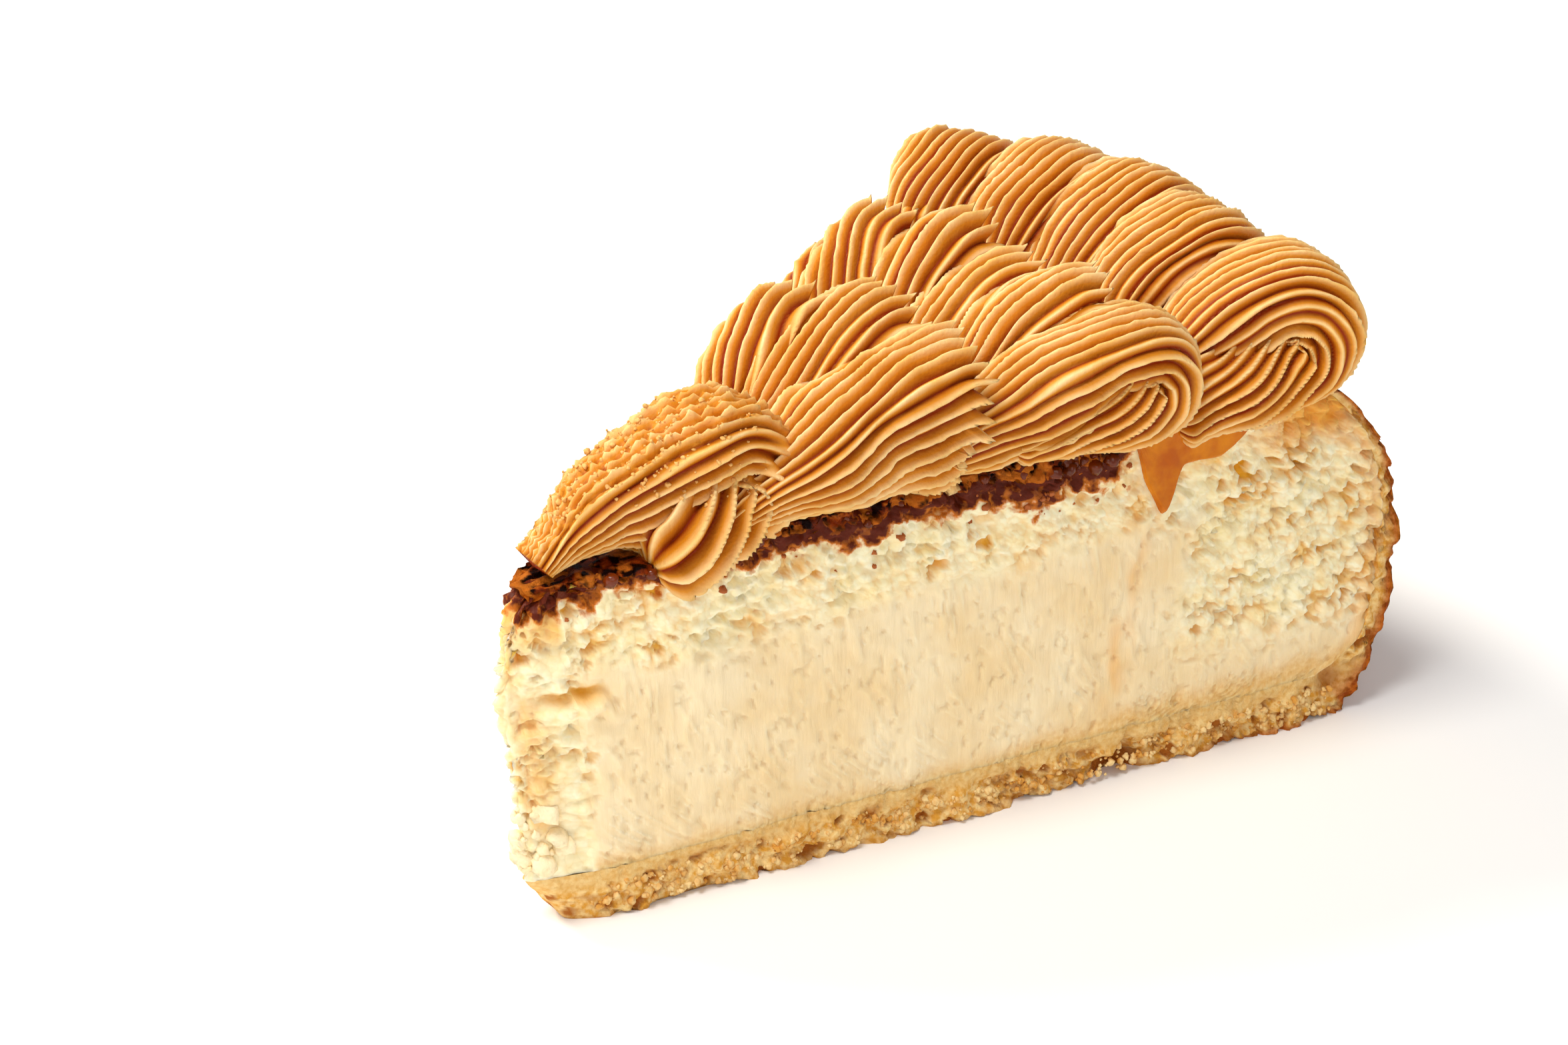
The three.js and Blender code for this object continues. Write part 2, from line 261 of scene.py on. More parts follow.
# %% Swags, from the first piped to the last
SWAGS = [
    dict(
        name="outer_1", tail=(84, 13.6), head=(108, 13.2), rise=13.2, half=7.2, turn=180, back=8,
        belly=0.2, tail_size=0.32,
    ),
    dict(name="outer_2", tail=(84, 6.8), head=(110, 5.6), rise=14.2, half=7.2, turn=180, back=8),
    dict(name="outer_3", tail=(84, 0.8), head=(111, -0.9), rise=14.4, half=7.2, turn=180, back=8),
    dict(name="outer_4", tail=(84, -5.4), head=(108.4, -7.6), rise=14.2, half=7.2, turn=180, back=8),
    dict(
        name="outer_5", tail=(84, -12), head=(111.2, -15.5), rise=12.5, half=7.0, turn=180,
        back=13, hang=2.8, thick=4.2, taper=0.3,
    ),
    dict(name="middle_1", tail=(67, 15.8), head=(84, 15.8), rise=7.6, half=4.2, turn=30, thick=3.4),
    dict(name="middle_2", tail=(66, 11.8), head=(86, 11.6), rise=12.4, half=5.2, turn=30),
    dict(name="middle_3", tail=(66, 6.4), head=(88, 4.2), rise=13.0, half=5.2, turn=30),
    dict(name="middle_4", tail=(64, 0.6), head=(86, -3.4), rise=11.2, half=5.2, turn=30),
    dict(name="middle_5", tail=(62, -6), head=(88, -9.6), rise=12.2, half=5.8, turn=30),
    dict(
        name="middle_6", tail=(51, -14.4), head=(89, -15.6), rise=11.6, half=6.2, turn=180,
        back=15, hang=1.0, thick=3.3, tail_size=0.4,
    ),
    dict(name="inner_1", tail=(45, 12.4), head=(61, 13), rise=5.4, half=4, turn=30, thick=3),
    dict(name="inner_2", tail=(40, 8.2), head=(62, 7.8), rise=12.2, half=5, turn=30),
    dict(name="inner_3", tail=(38, 1.2), head=(67, -1), rise=12.8, half=6.4, turn=30),
    dict(
        name="inner_4", tail=(30, -13.6), head=(67, -12.6), rise=11.6, half=6.8, turn=24,
        tail_size=0.36,
    ),
    dict(
        name="tip", tail=(10.4, 0), head=(41, -7.6), rise=11.4, half=6.4, turn=180, back=9,
        hang=2.8, belly=0.5, thick=3.7, tail_size=0.42, bold=1, grit=1, taper=0.0,
    ),
]
HALF_THICKNESS, BEND_CLEARANCE, TAIL_LIFT, BELLY, TAIL_SIZE = 4.1, 0.3, 1.6, 0.34, 0.5
SAG, SAG_FADES = 1.05, 0.5


def smooth_line(points, steps):
    points = [2 * points[0] - points[1], *points, 2 * points[-1] - points[-2]]
    line = []
    for p0, p1, p2, p3 in zip(points, points[1:], points[2:], points[3:]):
        a, b, c = [math.sqrt((q - p).length) for p, q in ((p0, p1), (p1, p2), (p2, p3))]
        m1 = b * ((p1 - p0) / a - (p2 - p0) / (a + b) + (p2 - p1) / b)
        m2 = b * ((p2 - p1) / b - (p3 - p1) / (b + c) + (p3 - p2) / c)
        for step in range(steps):
            t = step / steps
            line.append(
                p1 + m1 * t + (3 * (p2 - p1) - 2 * m1 - m2) * t**2 + (2 * (p1 - p2) + m1 + m2) * t**3
            )
    return [*line, points[-2]]


def swag_line(swag):
    turn, back, hang = swag["turn"], swag.get("back", 0), swag.get("hang", 0)
    rise, belly = swag["rise"], swag.get("belly", BELLY)
    bend = swag.get("thick", HALF_THICKNESS) + BEND_CLEARANCE
    start, end = [
        Vector((r * math.cos(math.radians(a)), r * math.sin(math.radians(a)), 0))
        for r, a in (swag["tail"], swag["head"])
    ]
    length = (end - start).length - 2 * bend + BEND_CLEARANCE
    stroke = (end - start).normalized()
    side = Vector((stroke.y, -stroke.x, 0))
    ground = top_height((swag["tail"][0] + swag["head"][0]) / 2)

    def at(run, z, aside=0.0):
        return start + stroke * run + side * aside + Vector((0, 0, ground + z))

    points = [
        at(0, TAIL_LIFT),
        at(0.3 * length, belly * rise + TAIL_LIFT),
        at(0.66 * length, 0.84 * rise + 0.1 * (belly - BELLY) * rise),
        at(length, rise),
    ]
    steps = math.ceil(turn / 45)
    for step in range(1, steps + 1):
        turned, share = math.radians(turn * step / steps), 0.3 * step / steps
        down = bend * (1 - math.cos(turned))
        points.append(at(length + bend * math.sin(turned), rise - down - share * hang, share * hang))
    if back:
        under = rise - 2 * bend
        points.append(at(length - back / 2, under - 0.3 - 0.75 * hang, 0.75 * hang))
        points.append(at(length - back, under - 1.2 - hang, hang))
    return smooth_line(points, 24), side


print(len(SWAGS), "swags")

# %% [markdown]
# ## Ridges
# A strand's section is the star of the nozzle, softened: rounded crests and sharp valleys, which
# the absolute value of a cosine gives. A UV sphere is a good start, because its rings become the
# sections and its poles close the ends. Each vertex moves to its place on the strand. The section
# is a squarish oval whose underside sags until it rests on the cake. Ridges differ in height,
# wander a little, carry fine beads where the cream broke from the metal, and at an open head they
# end in torn points round a hollow. A folded strand is pressed from above: its lower part fills the
# bend, swells and turns on itself, so that its ridges run aslant like folds of cloth.

# %% Section and stations of a strand
TOOTH_PITCH, STEPS_A_TOOTH = 1.65, 10
STATION_LENGTH, CAP_STATIONS = 0.5, 4
SQUARENESS_ABOVE, SQUARENESS_BELOW = 0.72, 0.9
TWIST, FOLD_TWIST = 2.2, 4.0
BEND_FILL, FOLD_FILL = 1.5, 1.6
RIDGE_DEPTH, LOBE_DEPTH, RIDGE_BASE = 0.95, 1.7, 0.6
WANDER, WANDER_LENGTH = 0.55, 8
BEAD, BEAD_LENGTH = 0.24, 0.9
POINT_REACH, POINT_FLARE, HOLLOW = 3.0, 1.2, 3.0


def squarish_oval(half, thick, under, count):
    fine = []
    for i in range(241):
        x, y = math.cos(math.pi * i / 120), math.sin(math.pi * i / 120)
        square = SQUARENESS_ABOVE if y > 0 else SQUARENESS_BELOW
        reach = thick if y > 0 else under
        wide = math.copysign(half * abs(x) ** square, x)
        high = math.copysign(reach * abs(y) ** square, y)
        fine.append(Vector((wide, high)))
    lengths = [0.0]
    for p, q in zip(fine, fine[1:]):
        lengths.append(lengths[-1] + (q - p).length)
    even, i = [], 0
    for k in range(count):
        wanted = lengths[-1] * k / count
        while lengths[i + 1] < wanted:
            i += 1
        share = (wanted - lengths[i]) / (lengths[i + 1] - lengths[i])
        even.append(fine[i].lerp(fine[i + 1], share))
    section = []
    for before, point, after in zip(even[-1:] + even[:-1], even, even[1:] + even[:1]):
        along = after - before
        section.append((point, Vector((along.y, -along.x)).normalized()))
    return section, lengths[-1]


def walk(line, stations):
    lengths = [0.0]
    for p, q in zip(line, line[1:]):
        lengths.append(lengths[-1] + (q - p).length)
    places, i = [], 0
    for station in range(stations + 1):
        run = min(1, max(0, (station - CAP_STATIONS) / (stations - 2 * CAP_STATIONS)))
        while i < len(line) - 2 and lengths[i + 1] < run * lengths[-1]:
            i += 1
        share = (run * lengths[-1] - lengths[i]) / (lengths[i + 1] - lengths[i])
        before, after = max(0, i - 2), min(len(line) - 1, i + 3)
        ahead = (line[after] - line[before]).normalized()
        places.append((run, line[i].lerp(line[i + 1], share), ahead))
    return places, lengths[-1]


teeth_of_one = round(squarish_oval(7.2, HALF_THICKNESS, 1.6 * HALF_THICKNESS, 64)[1] / TOOTH_PITCH)
print("a wide strand has about", teeth_of_one, "ridges")


# %% Shape of the ridges and of the sections
def ridge(phase):
    return 0.35 * abs(math.cos(math.pi * phase)) + 0.65 * (1 - abs(math.sin(math.pi * phase)))


def strand_sections(swag, places, crest_run, around):
    half, thick, tail = swag["half"], swag.get("thick", HALF_THICKNESS), swag.get("tail_size", TAIL_SIZE)
    ground = top_height((swag["tail"][0] + swag["head"][0]) / 2)
    sections = []
    for run, middle, _ in places:
        size = tail + (1 - tail) * smooth(run, 0, 0.5)
        inner, resting = thick * size, 1
        if "back" in swag:
            inner += (BEND_CLEARANCE + BEND_FILL) * smooth(run, 0.8 * crest_run, crest_run)
            inner += FOLD_FILL * smooth(run, crest_run, mix(crest_run, 1, 0.3))
            size *= 1 - swag.get("taper", 0.5) * smooth(run, 0.76, 1)
            resting -= smooth(run, SAG_FADES * crest_run, crest_run)
        under = inner + resting * SAG * max(0, middle.z - ground - thick * size)
        sections.append((size, squarish_oval(half * size, thick * size, under, around)[0]))
    return sections


print("a ridge is", ridge(0), "high at its crest and", round(ridge(0.5), 2), "in the valley")


# %% Make one swag
def pipe_swag(swag, seed):
    line, side = swag_line(swag)
    half, thick, folded = swag["half"], swag.get("thick", HALF_THICKNESS), "back" in swag
    bold, coarse = swag.get("bold", 0), swag.get("grit", 0)
    teeth = 2 * round(squarish_oval(half, thick, 1.6 * thick, 64)[1] / TOOTH_PITCH / 2)
    around = teeth * STEPS_A_TOOTH
    stations = round(walk(line, 40)[1] / STATION_LENGTH) + 2 * CAP_STATIONS
    places, length = walk(line, stations)
    curl = math.radians(swag["turn"]) * (thick + BEND_CLEARANCE) + swag.get("back", 0)
    crest_run = 1 - curl / length
    pick = random.Random(seed)
    heights = [pick.choice((0.45, 0.8, 0.9, 1.0, 1.1, 1.2)) for _ in range(teeth)]
    points = [pick.uniform(0.3, 1.0) for _ in range(teeth)]
    sections = strand_sections(swag, places, crest_run, around)

    mesh = bmesh.new()
    crest_layer = mesh.verts.layers.float.new("crest")
    bmesh.ops.create_uvsphere(mesh, u_segments=around, v_segments=stations, radius=1)
    for vertex in mesh.verts:
        station = round(stations * math.acos(max(-1, min(1, vertex.co.z))) / math.pi)
        k = round(around * math.atan2(vertex.co.y, vertex.co.x) / (2 * math.pi)) % around
        run, middle, ahead = places[station]
        over = side.cross(ahead)
        size, section = sections[station]
        corner, normal = section[k]
        along = run * length
        swell = wave(along, 5 * corner.x / half, 5 * corner.y / half, 5, seed)
        swell = 1 + (0.1 + 0.12 * folded * smooth(run, 0.7, 1)) * swell

        twist = folded * (1 + 0.6 * bold) * FOLD_TWIST * smooth(run, crest_run, 1)
        phase = k / STEPS_A_TOOTH - TWIST * run - twist
        phase += WANDER * wave(along, 6 * normal.x, 6 * normal.y, WANDER_LENGTH, seed + 0.5)
        tooth = math.floor(phase + 0.5) % teeth
        profile = ridge(phase)
        depth = RIDGE_DEPTH * TOOTH_PITCH * size * heights[tooth]
        depth *= 1 + 0.3 * wave(along, 9 * tooth, 0, 5, seed + 2)
        merged = bold * smooth(run, crest_run, crest_run + 0.1)
        if merged:
            profile = mix(profile, ridge(phase / 2 + 0.3), merged)
            depth = mix(depth, LOBE_DEPTH * TOOTH_PITCH * size, merged)
        if not folded:
            depth *= 1 + 0.3 * smooth(run, 0.8, 1)
        bead = BEAD * profile**2 * wave(along, tooth * 5, 0, BEAD_LENGTH, seed)
        gritty = coarse * smooth(normal.y - normal.x, -0.2, 0.8)
        lump = 0.0
        if gritty:
            grit = wave(along, 9 * normal.x, 9 * normal.y, 0.75, 3)
            lump = gritty * (0.55 * grit + 0.4 * wave(along, 9 * normal.x, 9 * normal.y, 2.4, 6))
            profile = mix(profile, 0.62 + 0.7 * grit, 0.5 * gritty)
        out = depth * (profile - RIDGE_BASE) + bead + lump

        closing, forward = 1.0, 0.0
        if station < CAP_STATIONS:
            closing = math.sqrt(1 - (1 - station / CAP_STATIONS) ** 2)
            forward = -0.8 * (1 - closing) * size
        capped = station - (stations - CAP_STATIONS)
        if folded and capped > 0:
            closing = math.sqrt(max(0, 1 - (capped / CAP_STATIONS) ** 2))
            forward = 2.2 * size * capped / CAP_STATIONS
        elif not folded:
            torn = smooth(run, 0.86, 1)
            forward = (POINT_REACH * points[tooth] * profile - 1.0) * torn
            out += POINT_FLARE * points[tooth] * profile * torn
            if capped > 0:
                closing = max(0, 1 - capped / CAP_STATIONS)
                forward = forward * closing**2 - HOLLOW * (1 - closing)
        wide = (corner.x * swell + out * normal.x) * closing
        high = (corner.y * swell + out * normal.y) * closing
        spot = middle + side * wide + over * high + ahead * forward
        vertex.co = to_frame(spot)
        vertex[crest_layer] = profile * smooth(station, 0, 6)
    return mesh


# %% Add a piece to the scene
def add_piece(name, mesh, finish, nodes=()):
    data = bpy.data.meshes.new(name)
    for face in mesh.faces:
        face.smooth = True
    mesh.to_mesh(data)
    mesh.free()
    data.materials.append(finish)
    piece = bpy.data.objects.new(name, data)
    bpy.context.scene.collection.objects.link(piece)
    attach(piece, "root")
    if nodes:
        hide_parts(*nodes)
    print(name, len(data.polygons), "faces")
    return piece


# %% Pipe the cream
for number, swag in enumerate(SWAGS):
    swag_mesh = pipe_swag(swag, 11.3 * (number + 1))
    if swag["name"] == "tip":
        swag_mesh.normal_update()
        tip_spots = [(vertex.co.copy(), vertex.normal.copy()) for vertex in swag_mesh.verts]
    add_piece("piped_" + swag["name"], swag_mesh, cream, ["cream_" + swag["name"]])

# %% [markdown]
# ## Filling
# Baked cheesecake is set curd. Where the knife dragged it is smooth, with fine smears that follow
# the stroke; near the top and the rim it broke instead, and shows lumps, cracks and pits, painted yellow
# as shade.
# The mesh is one cube, divided along each of its three directions and then bent into the slice.
# Lumps come from Voronoi cells: a vertex stands higher the closer it is to the seed of its cell,
# and lies low in the crack where the distances to the two nearest seeds are alike.


# %% A divided box
def divided_box(along, across, up):
    mesh = bmesh.new()
    bmesh.ops.create_cube(mesh, size=1)
    for axis, parts in enumerate((along, across, up)):
        edges = []
        for edge in mesh.edges:
            direction = edge.verts[1].co - edge.verts[0].co
            if abs(direction[axis]) > 0.5 * direction.length:
                edges.append(edge)
        bmesh.ops.subdivide_edges(mesh, edges=edges, cuts=parts - 1, use_grid_fill=True)
    mesh.normal_update()
    for edge in mesh.edges:
        edge.smooth = edge.link_faces[0].normal.dot(edge.link_faces[1].normal) > 0.5
    return mesh


print("a box of 4 x 3 x 2 parts has", len(divided_box(4, 3, 2).faces), "faces")

# %% [markdown]
# Where the cut is broken and where it is smooth follows from the place: broken near the top, near
# the rim and on the nose. The strokes of the knife lean a little and bend forward near the base.
# A notch tore out of the front corner of the nose, with a flap that hangs below it, and caramel
# covers a patch of the cut under the piping, so the relief is calm there.


# %% Relief of the filling
NOSE_RADIUS = 13.2


def cells(x, y, z, size, seed):
    spot = Vector((x / size + seed, y / size - seed, z / size))
    warp = 0.4 * noise.noise(spot * 1.6)
    nearest, second = noise.voronoi(spot + Vector((warp, -warp, warp)))[0][:2]
    return 1 - 1.6 * nearest**2, 1 - smooth(second - nearest, 0.02, 0.3)


def curdiness(radius, z, side):
    deep = top_height(radius) - z
    uneven = 3.0 * wave(radius, z, side, 9)
    near_top = 1 - smooth(deep, 9 + uneven, 15 + uneven)
    near_rim = smooth(radius, 85 + uneven, 95 + uneven) * smooth(z, 10, 19)
    near_nose = (1 - smooth(radius, 12, 17 + uneven)) * smooth(z, 7, 11)
    return max(near_top, near_rim, 0.8 * near_nose)


def pool_depth(radius, side):
    drip = 7.0 * math.exp(-(((radius - 85.5) / 2.3) ** 4))
    band = 4.6 * smooth(radius, 84, 87) * (1 - smooth(radius, 93, 100))
    return 2.2 + drip + band + 0.8 * wave(radius, 0, side, 3.5, 2)


def torn_corner(away, z):
    low = z + 0.3 * away + 1.4 * wave(away, 0, 1, 2.2)
    return hill(away, 0.8, 2.5) * hill(low, 29, 0.8), hill(away, 1.0, 3.0) * hill(low, 27.4, 1.1)


def filling_relief(radius, z, side):
    curd = curdiness(radius, z, side)
    lump, crack = cells(radius, z, 30 * side, 2.2, 0.7)
    small, fissure = cells(radius, z, 30 * side, 1.3, 3.1)
    hole = smooth(wave(radius, 1.3 * z, 9 * side, 1.7, 8), 0.14, 0.34)
    hole *= smooth(wave(radius, z, 9 * side, 6, 1), -0.2, 0.15)
    crack *= smooth(wave(radius, z, 7 * side, 4, 4), -0.1, 0.25)
    coarse = wave(radius, z, side, 7, 8) + 0.5 * wave(radius, z, side, 3.4, 5)
    rough = 0.6 * (lump - 0.6) + 0.36 * (small - 0.6) - 1.1 * hole - 0.5 * crack + 0.7 * coarse
    bent = radius - 14 * math.exp(-(z - 6) / 7) + 0.1 * z + 1.5 * wave(radius, z, side, 9, 6)
    stroke = (1 - abs(wave(bent, 0.14 * z, side, 1.3, 9))) ** 8
    stroke *= smooth(wave(radius, z, side, 4, 2), -0.1, 0.35)
    pore = smooth(wave(radius, 0.6 * z, side, 0.9, 12), 0.3, 0.5)
    calm = 0.36 * stroke + 0.25 * coarse + 0.2 * wave(radius, z, side, 1.6, 3) - 0.3 * pore
    rough *= 1 + 0.4 * smooth(radius, 84, 94)
    relief, torn = curd * rough + (1 - curd) * calm, 0.0
    if side < 0:
        torn, flap = torn_corner(radius - NOSE_RADIUS, z)
        relief += 1.3 * flap - 1.5 * torn
        if 80 < radius < 104:
            pool = pool_depth(radius, side)
            relief *= smooth(top_height(radius) - z, pool - 0.8, pool + 1.6)
    # Painted yellow shade in the holes, cracks and fissures of the broken curd.
    pit_yellow_shade = max(hole, 0.8 * crack, 0.28 * fissure)
    pit_yellow_shade *= curd * smooth(wave(radius, z, side, 5, 13), -0.45, 0.2)
    return relief, max(pit_yellow_shade, torn), curd


def skin_depth(radius, side):
    thick = 2.8 * hill(radius, 73, 7) + 0.6 * hill(radius, 50, 6) + 0.6 * hill(radius, 24, 6)
    ragged = 1.5 * wave(radius, 0, side, 3.4, 1) + 0.7 * wave(radius, 0, side, 1.1, 5)
    return 2.4 + thick + ragged - 2.2 * smooth(radius, 79, 83) - 1.1 * (1 - smooth(radius, 18, 34))


def toasting(radius, z, side):
    deep = top_height(radius) - z
    uneven = 1.0 * wave(radius, z, side, 3.2, 6) + 0.8 * wave(radius, z, side, 1.1, 2)
    depth = skin_depth(radius, side) + uneven
    patch = smooth(wave(radius, 1.4 * z, side, 2.2, 12), -0.05, 0.25) * hill(radius, 73, 8)
    calm = 1 - smooth(radius, 82, 86)
    edge = 1 - smooth(deep, depth - 0.5, depth + 2.8)
    return max(edge, 0.8 * patch * (1 - smooth(deep, 6, 10))) * calm


def caramel_stain(radius, z, side):
    top = top_height(radius)
    patchy = smooth(wave(radius, 0.4 * z, side, 2.0, 3), -0.3, 0.3)
    drip = hill(radius, 85.5 - 0.16 * (top - z), 1.8) * smooth(z, 8, 12) * 0.4 * patchy
    corner = smooth(radius, 97, 105) * smooth(z + 3 * wave(radius, z, side, 3), 36, 42) * 0.9
    rim = smooth(radius, wall_inside(max(z, 7)) - 3.5, wall_inside(max(z, 7)) - 0.5) * 0.5
    return max(drip, corner, rim)


print("the skin is", round(skin_depth(50, -1), 1), "mm deep in the middle of the front cut")


# %% Shape the filling
filling_mesh = divided_box(296, 32, 118)
yellow_and_pit_shade_layer = filling_mesh.verts.layers.float.new("yellow_and_pit_shade")
curd_layer = filling_mesh.verts.layers.float.new("curd")
toast_layer = filling_mesh.verts.layers.float.new("toast")
paste_layer = filling_mesh.verts.layers.float.new("paste")
caramel_layer = filling_mesh.verts.layers.float.new("caramel")
for vertex in filling_mesh.verts:
    along, over, up = vertex.co + Vector((0.5, 0.5, 0.5))
    round_nose = 2 * over - 1
    across = math.copysign(abs(round_nose) ** 0.55, round_nose)
    z = mix(BASE_THICKNESS, top_height(mix(TIP_RADIUS_TOP, SHOULDER, along)), up)
    inner = tip_radius(z, across)
    radius = mix(inner, wall_inside(max(z, BASE_THICKNESS)), along)
    side = math.copysign(1, across)
    outwards = 0.0
    if abs(across) > 0.999:
        outwards, vertex[yellow_and_pit_shade_layer], vertex[curd_layer] = filling_relief(radius, z, side)
        vertex[toast_layer] = toasting(radius, z, side)
        vertex[caramel_layer] = caramel_stain(radius, z, side)
        soaked = BASE_THICKNESS + 1.2 + 1.8 * smooth(radius, 55, 96) + wave(radius, 0, side, 5)
        vertex[paste_layer] = 1 - smooth(z, soaked - 2, soaked + 1.6)
    elif along < 0.001:
        spread = 3 + 9 * round_nose
        relief, yellow_and_pit_shade, _ = filling_relief(spread, z, 3)
        torn, flap = torn_corner(9 * (1 + round_nose), z)
        relief = 1.3 * relief + wave(spread, z, 0, 5, 4) * smooth(z, 7, 11) + 1.3 * flap - 1.5 * torn
        slope = 6 * across**2
        outwards = relief * slope / math.hypot(1, slope)
        radius -= relief / math.hypot(1, slope)
        strip = hill(round_nose, -0.5, 0.25) * (1 - smooth(z, 28, 32)) * smooth(z, 10, 14)
        under_skin = smooth(z + 5 * wave(spread, z, 0, 3, 7), 32, 40)
        # The nose strip and the edge under the skin are the curd's own yellow; the torn notch gets
        # painted yellow shade.
        vertex[yellow_and_pit_shade_layer] = max(yellow_and_pit_shade, 0.8 * torn, 0.55 * strip, 0.7 * under_skin)
        vertex[curd_layer] = 0.9
        vertex[toast_layer] = toasting(spread, z, 3)
    elif up > 0.999:
        z += 0.3 * wave(radius, across * 8, 0, 3, 5)
        vertex[toast_layer] = 1 - smooth(radius, 84, 88)
        vertex[caramel_layer] = 0.9
    vertex.co = to_frame(place(radius, across, z, outwards))

# %% [markdown]
# The colour of the filling is pale cream and runs through orange to brown under the caramelised
# top. Holes, cracks and the torn notch are painted deep yellow as shade, and so, faintly, are the
# cracks between lumps; a strip on the nose and the edge under the skin are the curd's own yellow.
# Small floats stored on the vertices say how much of each there is. Curd is moist, so its gloss is
# uneven, and light enters it deeply.

# %% Filling finish
curd = new_material("baked_curd_filling")
fine = grain(curd, 1.4, 6)
streaks = grain(curd, 0.8, 4, (1, 1, 0.12))
broken = attribute(curd, "curd")
position = add_node(curd, "TexCoord").outputs["Object"]
crumble = add_node(curd, "TexVoronoi", sockets={"Vector": position, "Scale": 1100}).outputs[0]
beads = maths(curd, "MULTIPLY", maths(curd, "SUBTRACT", 1.0, crumble), broken)
smears = maths(curd, "MULTIPLY", streaks, maths(curd, "SUBTRACT", 1.0, broken))
smeared = blend_colours(curd, remap(curd, grain(curd, 8), 0.35, 0.65), "#eed4a4", "#f5e2bc")
lumpy = blend_colours(curd, remap(curd, grain(curd, 3), 0.35, 0.65), "#ffe9b8", "#fff3d2")
# Painted yellow shade in the cracks between the small lumps.
crevice_shade = maths(curd, "MULTIPLY", remap(curd, crumble, 0.5, 0.9), broken)
lumpy = blend_colours(curd, maths(curd, "MULTIPLY", crevice_shade, 0.25), lumpy, "#eeb640")
body = blend_colours(curd, broken, smeared, lumpy)
# Deep yellow from the attribute: painted shade in holes, cracks and the torn notch, the curd's own
# yellow on the nose.
yellowed_and_pit_shaded = blend_colours(curd, remap(curd, attribute(curd, "yellow_and_pit_shade"), 0.05, 1.0), body, "#e9ac30")
glazed = blend_colours(curd, attribute(curd, "caramel"), yellowed_and_pit_shaded, "#eba32e")
sandy = blend_colours(curd, remap(curd, grain(curd, 0.7), 0.35, 0.65), "#dfb06a", "#ecca8e")
pasted = blend_colours(curd, attribute(curd, "paste"), glazed, sandy)
toast = maths(curd, "ADD", attribute(curd, "toast"), remap(curd, fine, 0.35, 0.65, -0.25, 0.25))
golden = blend_colours(curd, remap(curd, toast, 0.27, 0.55), pasted, "#cc7422")
brown = blend_colours(curd, remap(curd, toast, 0.55, 0.85), golden, "#5a1c08")
relief_height = add_node(curd, "Math", operation="ADD", sockets={0: beads, 1: smears}).outputs[0]
finish_surface(
    curd,
    brown,
    remap(curd, fine, 0.3, 0.7, 0.36, 0.6),
    bump(curd, relief_height, 0.3, 0.7),
    {
        "Subsurface Weight": 0.6,
        "Subsurface Radius": (1.0, 0.96, 0.85),
        "Subsurface Scale": 0.001,
        "Specular IOR Level": 0.12,
    },
)
add_piece("baked_filling", filling_mesh, curd, ["filling"])

# %% [markdown]
# ## Caramelised top
# Sugar and milk on the top browned to a skin, nearly black where it is thickest and wet with
# syrup. Along the cuts it tore and hangs down a little. It is a thin box over the top whose sides
# stand proud of the cuts above and sink into them below, so the two rough surfaces meet in a
# ragged edge.


# %% Hanging skins
def hanging_skin(divisions, radii, depth, proud, roughness, seed, sides=(-1, 1), lip=0.5):
    mesh, over_nose = divided_box(*divisions), radii[0] < TIP_RADIUS_TOP
    lip_layer = mesh.verts.layers.float.new("lip")
    for vertex in mesh.verts:
        along, over, up = vertex.co + Vector((0.5, 0.5, 0.5))
        across = 2 * over - 1
        side = math.copysign(1, across)
        radius = mix(*radii, along)
        if over_nose:
            radius = max(radius, tip_radius(TIP_HEIGHT, across) - 0.2 + along)
        top = top_height(radius) + 0.25 + roughness * 0.6 * wave(radius, across * 9, 0, 2.2, seed)
        z = mix(top - depth(radius, side), top, up)
        outwards = 0.0
        if abs(across) > 0.999 and side in sides:
            lump, crack = cells(radius, z, 30 * side, 1.6, seed)
            ragged = 0.5 * (lump - 0.6) + 0.8 * wave(radius, z, side, 3.0, seed)
            ragged += 0.6 * wave(radius, z, side, 1.2, seed + 4) - 0.2 * crack
            ends = math.sin(math.pi * mix(0.04, 0.96, along)) ** 0.2
            sunk = mix(-1.0, proud, smooth(up, 0, lip)) * ends
            outwards = filling_relief(radius, z, side)[0] * roughness + sunk + roughness * ragged
        elif abs(across) > 0.999:
            outwards = -2.0
        elif along < 0.001 and over_nose:
            radius -= mix(-0.6, 0.7, up) + 0.7 * wave(across * 3, z, 0, 1.4, 4)
        vertex[lip_layer] = up
        vertex.co = to_frame(place(radius, across, z, outwards))
    return mesh


skin_mesh = hanging_skin((340, 24, 14), (8.2, 107), skin_depth, 0.55, 1.0, 7)

# %% Caramelised finish
skin = new_material("caramelised_milk_skin")
flecks = grain(skin, 1.3, 6)
burnt = blend_colours(skin, remap(skin, flecks, 0.43, 0.6), "#100100", "#7a2a04")
amber = maths(skin, "MULTIPLY", remap(skin, grain(skin, 2.6), 0.47, 0.58), 0.85)
burnt = blend_colours(skin, amber, burnt, "#c06c20")
edge = remap(skin, attribute(skin, "lip"), 0.0, 0.6, 1, 0)
fringe = maths(skin, "MULTIPLY", edge, remap(skin, flecks, 0.25, 0.5))
finish_surface(
    skin,
    blend_colours(skin, fringe, burnt, "#bc6014"),
    remap(skin, grain(skin, 2.0), 0.42, 0.55, 0.12, 0.6),
    bump(skin, grain(skin, 0.7, 6), 0.4, 0.9),
    {"Specular IOR Level": 0.05},
)
add_piece("caramelised_top", skin_mesh, skin)

# %% [markdown]
# ## Caramel that ran down
# Under the last swags a little caramel ran over the edge of the front cut: a band, and one drip at
# its end. It is the same hanging skin with other numbers, deeper, smooth and on one side only. The
# sauce is clear where it is thin and amber where it is thick, with a wet gloss.

